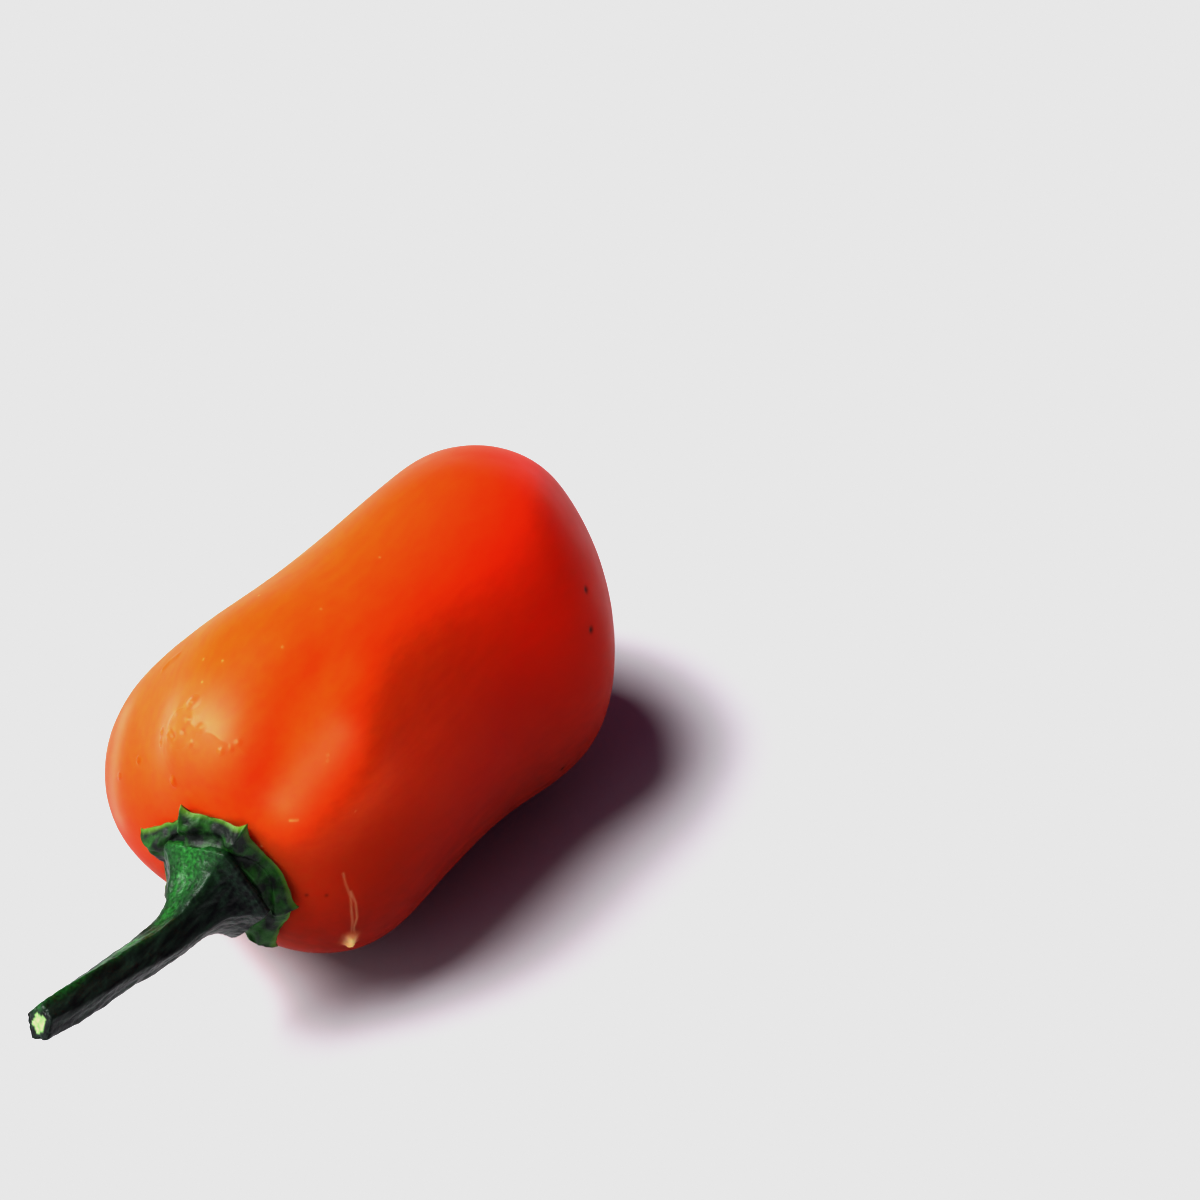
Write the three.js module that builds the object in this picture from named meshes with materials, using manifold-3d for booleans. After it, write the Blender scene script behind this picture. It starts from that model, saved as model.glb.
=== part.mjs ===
// A ripe orange chilli pepper of the habanero kind, as picked, lying on its side.
//
// Millimetres, +Z up. The origin is on the narrow flat that the pod rests on,
// under the middle of its length. The stalk points along -Y and the blossom end along +Y. "Along" is
// the place on the pod's length, from -1 at the stalk end to 1 at the blossom
// end. "Around" is the angle about that length, from +X towards +Z.

import * as THREE from "three";
import { mergeVertices } from "three/addons/utils/BufferGeometryUtils.js";
import Module from "manifold-3d";

const wasm = await Module();
wasm.setup();

// Clearance between two pieces that touch on the real fruit
const gap = 0.3;

// The pod: its length, its radius between the bulges, the height of its middle
// line over the surface, and how blunt each end is
const pod = {
  length: 50.5,
  radius: 14.7,
  axis: { x: -1.4, z: 16.35, leanX: 0.8, leanZ: 0.3, bowX: -0.38 },
  bluntAtStalk: 3.2,
  bluntAtBlossom: 3.4,
  oval: { rise: 0.4, around: 110 },
  lobes: { count: 3, atStalk: 2.2, atBlossom: 0.25, around: 76.6 },
};

// Swellings and hollows of the pod's skin. Those with an arc stay on one side
const swellings = [
  // shoulder behind the stalk
  { rise: 2.3, at: -0.6, reach: 0.35 },
  // widest part, nearer the blossom end
  { rise: 3.6, at: 0.42, reach: 0.35 },
  // hollow flank at the right, by the shoulder
  { rise: -2.1, at: -0.51, reach: 0.32, around: -29, arc: 62 },
  // hollow flank at the left, beside the widest part
  { rise: -5.3, at: 0.43, reach: 0.37, around: 145, arc: 62 },
  // shallow furrow that runs back from the stalk over the top
  { rise: -0.7, at: -0.74, reach: 0.3, around: 72, arc: 15 },
  // the underside is pressed level by the weight: filled behind the shoulder
  { rise: 2.4, at: -0.25, reach: 0.45, around: -98, arc: 36 },
  // and flattened under the widest part
  { rise: -1.1, at: 0.38, reach: 0.32, around: -80, arc: 42 },
];

// The blossom end: three low lobes round a dimple
const blossom = { dimpleDepth: 1.5, dimpleWidth: 0.2, lobeRise: 0.7, lobeAt: 0.5, lobeWidth: 0.25 };

// The calyx: a star of seven pointed teeth that hugs the pod's blunt end. Each
// corner is [around, distance from the middle], teeth and notches in turn
const calyx = {
  x: -0.5,
  z: 15.7,
  seatRadius: 4.6,
  tipLift: 0.2,
  ribRise: 0.35,
  liftedTooth: { rise: 0.5, around: -138, arc: 14 },
  corners: [
    [-172, 6.1], [-138, 7.9], [-118, 6.1], [-99, 7.0], [-75, 5.7], [-57, 7.7], [-27, 6.4],
    [-10, 6.5], [37, 5.6], [68, 7.5], [88, 6.8], [114, 7.5], [132, 6.3], [165, 7.9],
  ],
};

// The calyx from the middle of its outer face, over the edge, to the middle of
// the face on the pod. Inside the seat "out" is a share of the seat's radius.
// Past 1 it goes on to the star's edge at 2. "Lift" is the height over the pod
const calyxProfile = [
  { out: 0, lift: 1.2 },
  { out: 0.5, lift: 1.2 },
  { out: 1, lift: 1.2 },
  { out: 1.15, lift: 0.85 },
  { out: 1.4, lift: 1.15 },
  { out: 1.7, lift: 0.95 },
  { out: 2, lift: 0.7 },
  { out: 2, lift: 0 },
  { out: 1.6, lift: 0 },
  { out: 1.2, lift: 0 },
  { out: 0.8, lift: 0 },
  { out: 0.4, lift: 0 },
  { out: 0, lift: 0 },
];

// The stalk: a ridged stem that flares out where it meets the calyx
const stalk = {
  baseY: -27.05,
  baseRadius: 4.6,
  neckRadius: 1.45,
  endRadius: 1.2,
  flareLength: 2.1,
  ridges: 5,
  ridgeShare: 0.15,
  ridgeAround: 70,
  twistPerMm: 2,
  cutSlope: 0.3,
  cutAround: 120,
  cutReach: 3,
};

// The stalk's middle line, from the calyx to the cut end
const stalkLine = new THREE.CatmullRomCurve3([
  new THREE.Vector3(calyx.x, stalk.baseY, calyx.z),
  new THREE.Vector3(-0.25, -33, 16),
  new THREE.Vector3(-1, -38, 16.9),
  new THREE.Vector3(-1.6, -42.5, 17.8),
  new THREE.Vector3(-2.15, -47.1, 19),
]);

// How finely each piece is divided, along and around
const division = {
  pod: [44, 56],
  calyx: [calyxProfile.length - 1, 72],
  stalkLength: 22,
  stalkAround: 30,
};

const radians = THREE.MathUtils.degToRad;
const mix = THREE.MathUtils.lerp;

// A smooth hump: 1 at 0 and nearly gone at twice the width
function bell(distance, width) {
  return Math.exp(-((distance / width) ** 2));
}

// The shortest turn from one angle to another, in degrees
function turn(around, from) {
  return THREE.MathUtils.euclideanModulo(around - from + 180, 360) - 180;
}

// A closed skin: a ball whose points are placed by their station, from 0 at the
// pole towards the stalk to 1 at the other pole, and their angle in degrees
function grow([stations, segments], place) {
  const ball = new THREE.SphereGeometry(1, segments, stations);
  ball.deleteAttribute("normal");
  ball.deleteAttribute("uv");
  const skin = mergeVertices(ball);
  const position = skin.getAttribute("position");
  const point = new THREE.Vector3();
  for (let i = 0; i < position.count; i += 1) {
    point.fromBufferAttribute(position, i);
    const station = Math.acos(THREE.MathUtils.clamp(-point.y, -1, 1)) / Math.PI;
    const around = THREE.MathUtils.radToDeg(Math.atan2(point.z, point.x));
    position.setXYZ(i, ...place(station, around));
  }
  return skin;
}

function toSolid(geometry) {
  const vertProperties = Float32Array.from(geometry.getAttribute("position").array);
  const triVerts = Uint32Array.from(geometry.index.array);
  return new wasm.Manifold(new wasm.Mesh({ numProp: 3, vertProperties, triVerts }));
}

function toGeometry(solid) {
  const mesh = solid.getMesh();
  const geometry = new THREE.BufferGeometry();
  geometry.setAttribute("position", new THREE.BufferAttribute(mesh.vertProperties, 3));
  geometry.setIndex(new THREE.BufferAttribute(mesh.triVerts, 1));
  return geometry;
}

// The middle line of the pod bows a little to the side
function podAxis(along) {
  const { x, z, leanX, leanZ, bowX } = pod.axis;
  return { x: x + leanX * along + bowX * along ** 2, z: z + leanZ * along };
}

// The distance from the middle line to the skin, where no end closes it yet
function skinRadius(along, around) {
  const { oval, lobes } = pod;
  const lobing = mix(lobes.atStalk, lobes.atBlossom, (along + 1) / 2);
  const lobeTurn = radians(around - lobes.around);
  let radius = pod.radius + oval.rise * Math.cos(2 * radians(around - oval.around));
  radius += lobing * Math.cos(lobes.count * lobeTurn);
  for (const swelling of swellings) {
    let share = bell(along - swelling.at, swelling.reach);
    if (swelling.arc) {
      share *= bell(turn(around, swelling.around), swelling.arc);
    }
    radius += swelling.rise * share;
  }
  return radius;
}

// The dimple and the lobes at the blossom end, as a shift along the pod
function blossomShift(dome, around) {
  const { count, around: crest } = pod.lobes;
  const lobing = blossom.lobeRise * Math.cos(count * radians(around - crest));
  const share = bell(dome - blossom.lobeAt, blossom.lobeWidth) * Math.min(dome / blossom.lobeAt, 1);
  return lobing * share - blossom.dimpleDepth * bell(dome, blossom.dimpleWidth);
}

// A point of the pod's skin. Both ends close as superellipses, so they are
// blunt, and the stations stay evenly spaced over them
function podPoint(station, around) {
  const polar = station * Math.PI;
  const towardsStalk = polar < Math.PI / 2;
  const power = towardsStalk ? pod.bluntAtStalk : pod.bluntAtBlossom;
  const cos = Math.cos(polar);
  const sin = Math.sin(polar);
  const stretch = (Math.abs(cos) ** power + sin ** power) ** (-1 / power);
  const along = -stretch * cos;
  const dome = stretch * sin;
  const radius = skinRadius(along, around) * dome;
  const axis = podAxis(along);
  const shift = towardsStalk ? 0 : blossomShift(dome, around);
  return [
    axis.x + radius * Math.cos(radians(around)),
    along * pod.length / 2 + shift,
    axis.z + radius * Math.sin(radians(around)),
  ];
}

function makePod() {
  const skin = toSolid(grow(division.pod, podPoint));
  const depth = 4;
  const under = new THREE.BoxGeometry(2 * pod.length, 2 * pod.length, depth);
  under.deleteAttribute("normal");
  under.deleteAttribute("uv");
  under.translate(0, 0, -depth / 2);
  return toGeometry(skin.subtract(toSolid(mergeVertices(under))));
}

// The height along Y of the pod's blunt stalk end at (x, z)
function stalkEndY(x, z) {
  let along = -1;
  for (let pass = 0; pass < 4; pass += 1) {
    const axis = podAxis(along);
    const around = THREE.MathUtils.radToDeg(Math.atan2(z - axis.z, x - axis.x));
    const dome = Math.min(Math.hypot(x - axis.x, z - axis.z) / skinRadius(along, around), 1);
    along = -((1 - dome ** pod.bluntAtStalk) ** (1 / pod.bluntAtStalk));
  }
  return along * pod.length / 2;
}

// The star's edge: from each tooth to the notch beside it the edge sweeps in,
// steep at the tooth and level at the notch. "Tooth" is 1 at a tip
function starEdge(around) {
  const { corners } = calyx;
  const count = corners.length;
  for (let i = 0; i < count; i += 1) {
    const [from, fromRadius] = corners[i];
    const [to, toRadius] = corners[(i + 1) % count];
    const span = THREE.MathUtils.euclideanModulo(to - from, 360);
    const step = THREE.MathUtils.euclideanModulo(around - from, 360);
    if (step <= span) {
      const toothFirst = fromRadius > toRadius;
      const tooth = (toothFirst ? 1 - step / span : step / span) ** 1.6;
      const notchRadius = Math.min(fromRadius, toRadius);
      return { radius: notchRadius + Math.abs(fromRadius - toRadius) * tooth, tooth };
    }
  }
  throw new Error("the star has no edge at this angle");
}

function calyxPoint(station, around) {
  const row = calyxProfile[Math.round(station * (calyxProfile.length - 1))];
  const { radius: edge, tooth } = starEdge(around);
  const past = Math.max(row.out - 1, 0);
  const radius = mix(Math.min(row.out, 1) * calyx.seatRadius, edge, past);
  const x = calyx.x + radius * Math.cos(radians(around));
  const z = calyx.z + radius * Math.sin(radians(around));
  const rib = row.lift > 0 ? calyx.ribRise * tooth * Math.sin(Math.PI * past) : 0;
  const { liftedTooth } = calyx;
  const curl = liftedTooth.rise * bell(turn(around, liftedTooth.around), liftedTooth.arc) * past ** 2;
  const lift = gap + row.lift + rib + calyx.tipLift * tooth * past ** 3 + curl;
  return [x, stalkEndY(x, z) - lift, z];
}

// The stalk's radius, "distance" mm from the calyx and "share" of its length
function stalkRadius(distance, share, around) {
  const stem = mix(stalk.neckRadius, stalk.endRadius, share ** 2);
  const flare = (stalk.baseRadius - stalk.neckRadius) * Math.exp(-distance / stalk.flareLength);
  const ridge = 1 - Math.abs(Math.sin(radians(stalk.ridges * around / 2)));
  return (stem + flare) * (1 + stalk.ridgeShare * (ridge - 1 / stalk.ridges));
}

function makeStalk() {
  const { stalkLength, stalkAround } = division;
  const length = stalkLine.getLength();
  const rows = stalkLength + 4;
  const place = (station, around) => {
    // rows 0 to 2 are the cut face and the last two close the base
    const row = Math.round(station * rows);
    const fromBase = THREE.MathUtils.clamp(rows - row - 2, 0, stalkLength) / stalkLength;
    // the rings stand closer in the flare
    const share = fromBase ** 1.5;
    const inside = [0, 0.5][row] ?? [0, 0.5][rows - row] ?? 1;
    const distance = share * length;
    const centre = stalkLine.getPointAt(share);
    const tangent = stalkLine.getTangentAt(share);
    // the base lies square to Y, against the calyx
    tangent.lerp(new THREE.Vector3(0, -1, 0), bell(distance, stalk.flareLength)).normalize();
    const side = new THREE.Vector3(0, 0, 1).cross(tangent).normalize();
    const up = tangent.clone().cross(side);
    const angle = radians(around + stalk.ridgeAround + stalk.twistPerMm * distance);
    const radius = stalkRadius(distance, share, around) * inside;
    const slope = stalk.cutSlope * bell(length - distance, stalk.cutReach);
    const slant = slope * radius * Math.cos(angle - radians(stalk.cutAround));
    return centre
      .addScaledVector(side, radius * Math.cos(angle))
      .addScaledVector(up, radius * Math.sin(angle))
      .addScaledVector(tangent, -slant)
      .toArray();
  };
  return grow([rows, stalkAround], place);
}

function piece(name, geometry, color, roughness) {
  const material = new THREE.MeshStandardMaterial({ color, roughness, metalness: 0 });
  const mesh = new THREE.Mesh(geometry, material);
  mesh.name = name;
  return mesh;
}

const pepper = new THREE.Group();
pepper.name = "chilli_pepper";
pepper.add(piece("pod", makePod(), 0xe4521b, 0.3));
pepper.add(piece("calyx", grow(division.calyx, calyxPoint), 0x2f6a2a, 0.5));
pepper.add(piece("stalk", makeStalk(), 0x1f3a22, 0.5));

export default pepper;
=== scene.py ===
# %% [markdown]
# # A chilli pepper on a pale table
#
# The fruit is a ripe orange chilli of the habanero kind, lying on its side as
# it was picked. It has three pieces that grew as one plant part each: the
# waxy pod, the green calyx that hugs its blunt end, and the stalk.
#
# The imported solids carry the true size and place. They are loaded first, and
# every piece made here grows from the same named measures, only finer.

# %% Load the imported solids
import math
import random

import bmesh
import bpy
import numpy as np
from mathutils import Matrix, Vector, noise


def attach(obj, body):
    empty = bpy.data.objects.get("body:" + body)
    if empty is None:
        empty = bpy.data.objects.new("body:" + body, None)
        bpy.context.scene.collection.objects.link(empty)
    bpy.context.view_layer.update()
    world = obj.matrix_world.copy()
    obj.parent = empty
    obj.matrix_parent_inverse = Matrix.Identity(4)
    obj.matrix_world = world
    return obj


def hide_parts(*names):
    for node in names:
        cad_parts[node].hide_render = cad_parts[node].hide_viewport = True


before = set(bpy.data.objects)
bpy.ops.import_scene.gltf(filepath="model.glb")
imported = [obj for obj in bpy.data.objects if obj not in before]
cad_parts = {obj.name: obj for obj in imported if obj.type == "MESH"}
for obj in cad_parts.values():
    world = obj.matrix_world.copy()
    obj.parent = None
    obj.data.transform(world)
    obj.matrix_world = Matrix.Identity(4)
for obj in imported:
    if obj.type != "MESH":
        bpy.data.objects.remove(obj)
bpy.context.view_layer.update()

MM = 0.001
print("solids:", sorted(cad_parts))

# %% [markdown]
# ## The camera
#
# The picture was taken from close by, looking down on the stalk end. A camera
# is set by where it stands and by the way its three axes point: right, up,
# and back towards whoever holds it. It could be placed by hand in the
# viewport, but numbers give the same view each time. The lens is a modest
# telephoto, so the stalk, which is nearer, looks only a little larger than
# the blossom end.

# %% Place the camera
camera_azimuth = math.radians(28.2)
camera_elevation = math.radians(40.9)
camera_place = Vector((96.70, -140.65, 173.77)) * MM

camera_back = Vector((
    math.sin(camera_azimuth) * math.cos(camera_elevation),
    -math.cos(camera_azimuth) * math.cos(camera_elevation),
    math.sin(camera_elevation),
))
camera_right = Vector((math.cos(camera_azimuth), math.sin(camera_azimuth), 0))
camera_up = camera_back.cross(camera_right)

camera_data = bpy.data.cameras.new("camera")
camera_data.sensor_width = 36
camera_data.lens = 78
camera_data.clip_start = 0.01
camera = bpy.data.objects.new("camera", camera_data)
axes = Matrix((camera_right, camera_up, camera_back)).transposed()
camera.matrix_world = Matrix.Translation(camera_place) @ axes.to_4x4()
bpy.context.scene.collection.objects.link(camera)
bpy.context.scene.camera = camera
print("camera stands at, mm:", [round(v / MM, 1) for v in camera.location])

# %% [markdown]
# ## Materials from nodes
#
# Colours are written as the hex values that a colour picker shows, and a
# shader wants them linear, so one function turns them. A second one adds a
# node: its settings are named, and an input is a number or another node's
# output. That is all that is needed to write a material as a short recipe.

# %% Helpers for materials
def linear(hex_colour):
    """An sRGB hex value as the linear colour that a shader reads."""
    colour = []
    for shift in (16, 8, 0):
        value = ((hex_colour >> shift) & 255) / 255
        colour.append(value / 12.92 if value <= 0.04045 else ((value + 0.055) / 1.055) ** 2.4)
    return (*colour, 1)


def add_node(material, kind, inputs=None, **settings):
    """Adds a node. An input is a plain value or another node's output."""
    tree = material.node_tree
    node = tree.nodes.new(kind)
    for name, value in settings.items():
        setattr(node, name, value)
    for name, value in (inputs or {}).items():
        if isinstance(value, bpy.types.NodeSocket):
            tree.links.new(value, node.inputs[name])
        else:
            node.inputs[name].default_value = value
    return node


def new_material(name, **surface):
    """A material with a Principled surface, and its settings that are the same all over."""
    material = bpy.data.materials.new(name)
    material.use_nodes = True
    shader = material.node_tree.nodes["Principled BSDF"]
    for socket, value in surface.items():
        shader.inputs[socket.replace("_", " ")].default_value = value
    return material, shader


def blend_colour(material, share, first, second):
    """The colour that goes from first to second as share goes from 0 to 1."""
    mixed = add_node(material, "ShaderNodeMix", {0: share, 6: first, 7: second}, data_type="RGBA")
    return mixed.outputs[2]


print("a middle grey, 0x808080, is", round(linear(0x808080)[0], 3), "when linear")


# %% [markdown]
# ## The table and the light
#
# The fruit lies on a plain white surface that is lit so strongly that it
# looks even and shadowless away from the fruit. The main light is broad and
# soft, like a window. It stands high at the left and a little to the front,
# so the shadow falls to the right and back with a wide, soft edge. A lower,
# weaker light from the front left stands for a pale wall, and the room adds a
# little. Lamps near the table would light it unevenly, while a distant disc
# gives every place on it the same brightness, and its width sets the softness.

# %% The table
table_half = 20.0
table_mesh = bpy.data.meshes.new("table")
table_mesh.from_pydata(
    [(-table_half, -table_half, 0), (table_half, -table_half, 0),
     (table_half, table_half, 0), (-table_half, table_half, 0)],
    [], [(0, 1, 2, 3)],
)
table = bpy.data.objects.new("table", table_mesh)
bpy.context.scene.collection.objects.link(table)
# matt white board: it has no gloss to speak of, so its IOR is low
board, board_shader = new_material("matt_white_board", Roughness=0.9, IOR=1.2)
board_shader.inputs["Base Color"].default_value = linear(0xDADBDE)
table_mesh.materials.append(board)

# %% The lights
def add_disc_light(name, towards, strength, width):
    """A distant round light. Towards points at it, and width is its angle in degrees."""
    data = bpy.data.lights.new(name, "SUN")
    data.energy = strength
    data.angle = math.radians(width)
    light = bpy.data.objects.new(name, data)
    light.rotation_euler = Vector(towards).to_track_quat("Z", "Y").to_euler()
    bpy.context.scene.collection.objects.link(light)
    return light


add_disc_light("window", (-0.47, -0.27, 0.80), 6.2, 43)
add_disc_light("pale_wall", (-0.45, -0.80, 0.42), 0.8, 60)

# the room is dim and faintly pink, and what stands behind the table is white
world = bpy.data.worlds.new("pale_room")
bpy.context.scene.world = world
world.use_nodes = True
room = world.node_tree.nodes["Background"]
room.inputs["Color"].default_value = linear(0xF0AAE4)
room.inputs["Strength"].default_value = 0.10
wall = add_node(world, "ShaderNodeBackground", {"Color": (1, 1, 1, 1)})
seen = add_node(world, "ShaderNodeLightPath").outputs["Is Camera Ray"]
surround = add_node(world, "ShaderNodeMixShader", {0: seen, 1: room.outputs[0], 2: wall.outputs[0]})
world_output = world.node_tree.nodes["World Output"]
world.node_tree.links.new(surround.outputs[0], world_output.inputs["Surface"])
print("lights:", [(light.name, round(light.energy, 2)) for light in bpy.data.lights])

# %% [markdown]
# ## The print
#
# The picture is a contrasty print: the table is so bright that it goes even,
# at a light grey instead of pure white, and the shadows are deep. Darker
# materials would also change the reflections, so a curve on the whole image
# does it. It bends down in the darks and ends level at the grey of the table.

# %% The tone curve
print_white = linear(0xE7E7E7)[0]
view = bpy.context.scene.view_settings
view.view_transform = "Standard"
view.use_curve_mapping = True
tone = view.curve_mapping
tone.extend = "HORIZONTAL"
tone_curve = tone.curves[3]
for level, value in ((0.04, 0.018), (0.2, 0.14), (0.5, 0.47), (0.85, print_white)):
    tone_curve.points.new(level, value)
tone_curve.points[-1].location = (1, print_white)
for point in tone_curve.points:
    point.handle_type = "AUTO_CLAMPED"  # no overshoot at the table's grey
tone.update()
print("tone curve ends at", round(print_white, 3))

# %% [markdown]
# ## Measuring with humps
#
# The fruit is soft and rounded all over, so its shape is a plain rounded
# barrel plus humps and hollows. One function draws a smooth hump, and one
# gives the shortest turn between two angles. Measures are in millimetres
# until a mesh is made. "Along" runs from -1 at the stalk end to 1 at the
# blossom end, and "around" is the angle about the pod's length in degrees.

# %% Helpers for shapes
def bell(distance, width):
    """A smooth hump: 1 at 0 and nearly gone at twice the width."""
    return np.exp(-((distance / width) ** 2))


def turn(around, start):
    """The shortest turn from one angle to another, in degrees."""
    return (around - start + 180) % 360 - 180


def mix(first, second, share):
    """The value that goes from first to second as share goes from 0 to 1."""
    return first + (second - first) * share


def wave(degrees):
    """The cosine of an angle in degrees, a wave from 1 down to -1 and back."""
    return np.cos(np.radians(degrees))


def grain(points, size):
    """Smooth noise from -1 to 1 at each point. Size is a hump's width in mm, one for each axis."""
    scaled = points / np.asarray(size, float)
    return np.array([noise.noise(point) for point in scaled.tolist()])


def distance_to_path(points, path):
    """How far each point is from a line drawn through the points of a path."""
    path = np.asarray(path, float)
    if len(path) == 1:
        return np.linalg.norm(points - path[0], axis=1)
    nearest = np.full(len(points), np.inf)
    for start, end in zip(path[:-1], path[1:]):
        step = end - start
        share = np.clip((points - start) @ step / (step @ step), 0, 1)
        foot = start + share[:, None] * step
        nearest = np.minimum(nearest, np.linalg.norm(points - foot, axis=1))
    return nearest


print("a hump 2 mm wide, at 0, 2 and 4 mm:", bell(np.array((0, 2, 4)), 2).round(2).tolist())


# %% [markdown]
# ## Meshes from rings
#
# Each piece is a closed skin: rings of points from one pole to the other,
# joined by four-sided faces, with a fan of triangles at each pole. That is
# how a globe is drawn, and it suits a fruit because the rings can bulge and
# bend freely and still close without a seam.

# %% Helpers for meshes
def skin_from_rings(name, rings):
    """A closed mesh from an array of rings. The first and last ring close to a pole."""
    rows, columns, _ = rings.shape
    poles = [rings[0].mean(axis=0), rings[-1].mean(axis=0)]
    points = np.vstack([poles[0], rings[1:-1].reshape(-1, 3), poles[1]]) * MM
    last = len(points) - 1
    faces = []
    for j in range(columns):
        k = (j + 1) % columns
        faces.append((0, 1 + j, 1 + k))
        for i in range(rows - 3):
            near = 1 + i * columns
            far = near + columns
            faces.append((near + j, far + j, far + k, near + k))
        near = 1 + (rows - 3) * columns
        faces.append((last, near + k, near + j))
    mesh = bpy.data.meshes.new(name)
    mesh.from_pydata(points.tolist(), [], faces)
    mesh.update()
    return mesh


def points_of(mesh):
    """The places of a mesh's points in mm."""
    flat = np.empty(len(mesh.vertices) * 3)
    mesh.vertices.foreach_get("co", flat)
    return flat.reshape(-1, 3) / MM


def normals_of(mesh):
    """The way the skin faces at each of a mesh's points."""
    flat = np.empty(len(mesh.vertices) * 3)
    mesh.vertex_normals.foreach_get("vector", flat)
    return flat.reshape(-1, 3)


def set_points(mesh, points):
    """Moves a mesh's points to new places in mm."""
    mesh.vertices.foreach_set("co", (points * MM).ravel())
    mesh.update()


def refine(mesh, near_mark, cuts):
    """Cuts the faces finer where near_mark is true for a point of the mesh."""
    work = bmesh.new()
    work.from_mesh(mesh)
    work.verts.ensure_lookup_table()
    edges = [edge for edge in work.edges if all(near_mark[v.index] for v in edge.verts)]
    bmesh.ops.subdivide_edges(work, edges=edges, cuts=cuts, use_grid_fill=True)
    work.to_mesh(mesh)
    work.free()
    mesh.update()


def paint(mesh, name, values):
    """Stores a number from 0 to 1 at each point, for the material to read."""
    attribute = mesh.attributes.new(name, "FLOAT", "POINT")
    attribute.data.foreach_set("value", np.clip(values, 0, 1).astype(np.float32))


def finish_piece(name, mesh, material, node):
    """Shades a mesh smooth, shows it in place of a solid, and hides that solid."""
    mesh.materials.append(material)
    mesh.shade_smooth()
    piece = bpy.data.objects.new(name, mesh)
    bpy.context.scene.collection.objects.link(piece)
    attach(piece, "root")
    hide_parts(node)
    points = points_of(mesh)
    print(name, "has", len(mesh.polygons), "faces and spans, mm:",
          points.min(axis=0).round(2).tolist(), points.max(axis=0).round(2).tolist())
    return piece


# %% [markdown]
# ## The pod
#
# The pod is a barrel with two blunt ends, a shoulder behind the stalk and a
# wider part near the blossom end. Its ends close as superellipses, which are
# blunter than a ball's. Three soft lobes run along it, and a few named
# swellings make this fruit itself. It could be sculpted by hand, but then its
# size would be a guess. Here each bulge has a number, the same as in the
# solid, apart from the fuller upper flank, which is drawn only here.

# %% Measures of the pod, in mm
pod_length = 50.5
pod_radius = 14.7
pod_axis = {"x": -1.4, "z": 16.35, "lean_x": 0.8, "lean_z": 0.3, "bow_x": -0.38}
blunt_at_stalk = 3.2
blunt_at_blossom = 3.4
oval_rise, oval_around = 0.4, 110
lobe_count, lobe_at_stalk, lobe_at_blossom, lobe_around = 3, 2.2, 0.25, 76.6

# rise, place along, reach along, and for those on one side the angle and arc
swellings = [
    (2.3, -0.60, 0.35, None, None),  # shoulder behind the stalk
    (3.6, 0.42, 0.35, None, None),  # widest part
    (-2.1, -0.51, 0.32, -29, 62),  # hollow flank at the right
    (1.2, -0.24, 0.36, 16, 28),  # fuller upper flank between the lobes
    (-5.3, 0.43, 0.37, 145, 62),  # hollow flank at the left
    (-0.7, -0.74, 0.30, 72, 15),  # furrow over the top
    (2.4, -0.25, 0.45, -98, 36),  # underside filled behind the shoulder
    (-1.1, 0.38, 0.32, -80, 42),  # underside flattened by the weight
]

dimple_depth, dimple_width = 1.5, 0.2
end_lobe_rise, end_lobe_at, end_lobe_width = 0.7, 0.5, 0.25


def axis_at(along):
    """Where the pod's middle line is, across and up."""
    x = pod_axis["x"] + pod_axis["lean_x"] * along + pod_axis["bow_x"] * along**2
    z = pod_axis["z"] + pod_axis["lean_z"] * along
    return x, z


def skin_radius(along, around):
    """From the middle line to the skin, where no end closes it yet."""
    lobing = mix(lobe_at_stalk, lobe_at_blossom, (along + 1) / 2)
    radius = pod_radius + oval_rise * wave(2 * (around - oval_around))
    radius = radius + lobing * wave(lobe_count * (around - lobe_around))
    for rise, at, reach, centre, arc in swellings:
        share = bell(along - at, reach)
        if arc:
            share = share * bell(turn(around, centre), arc)
        radius = radius + rise * share
    return radius


def pod_point(station, around):
    """A point of the pod. Stations run from 0 at the stalk's pole to 1."""
    polar = station * math.pi
    near_stalk = polar < math.pi / 2
    power = np.where(near_stalk, blunt_at_stalk, blunt_at_blossom)
    cosine, sine = np.cos(polar), np.sin(polar)
    stretch = (np.abs(cosine) ** power + np.abs(sine) ** power) ** (-1 / power)
    along = -stretch * cosine
    dome = stretch * sine
    radius = skin_radius(along, around) * dome
    x, z = axis_at(along)
    lobes = end_lobe_rise * wave(lobe_count * (around - lobe_around))
    share = bell(dome - end_lobe_at, end_lobe_width) * np.minimum(dome / end_lobe_at, 1)
    end_shift = lobes * share - dimple_depth * bell(dome, dimple_width)
    y = along * pod_length / 2 + np.where(near_stalk, 0, end_shift)
    x, y, z = np.broadcast_arrays(x + radius * wave(around), y, z + radius * wave(around - 90))
    return np.stack([x, y, z], axis=-1)


# %% Grow the pod
pod_rows, pod_columns = 216, 300
stations = np.linspace(0, 1, pod_rows + 1)[:, None]
arounds = np.linspace(-180, 180, pod_columns, endpoint=False)[None, :]
pod_mesh = skin_from_rings("pod_skin", pod_point(stations, arounds))
print("pod drawn with", len(pod_mesh.vertices), "points")

# %% [markdown]
# ## Marks on the skin
#
# Seen close, the skin isn't even. There is a patch of raised blisters and
# pits on the shoulder where something chafed it, a crease above them, a thin
# double scar that ends in a corky nub, and a few pale flecks and dark specks.
# A bump map could fake them, but it would vanish from the outline and from
# the mesh. They are real relief, so they are cut into the mesh: the faces
# near each mark are first made finer, and then the points move along their
# normals.

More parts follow.
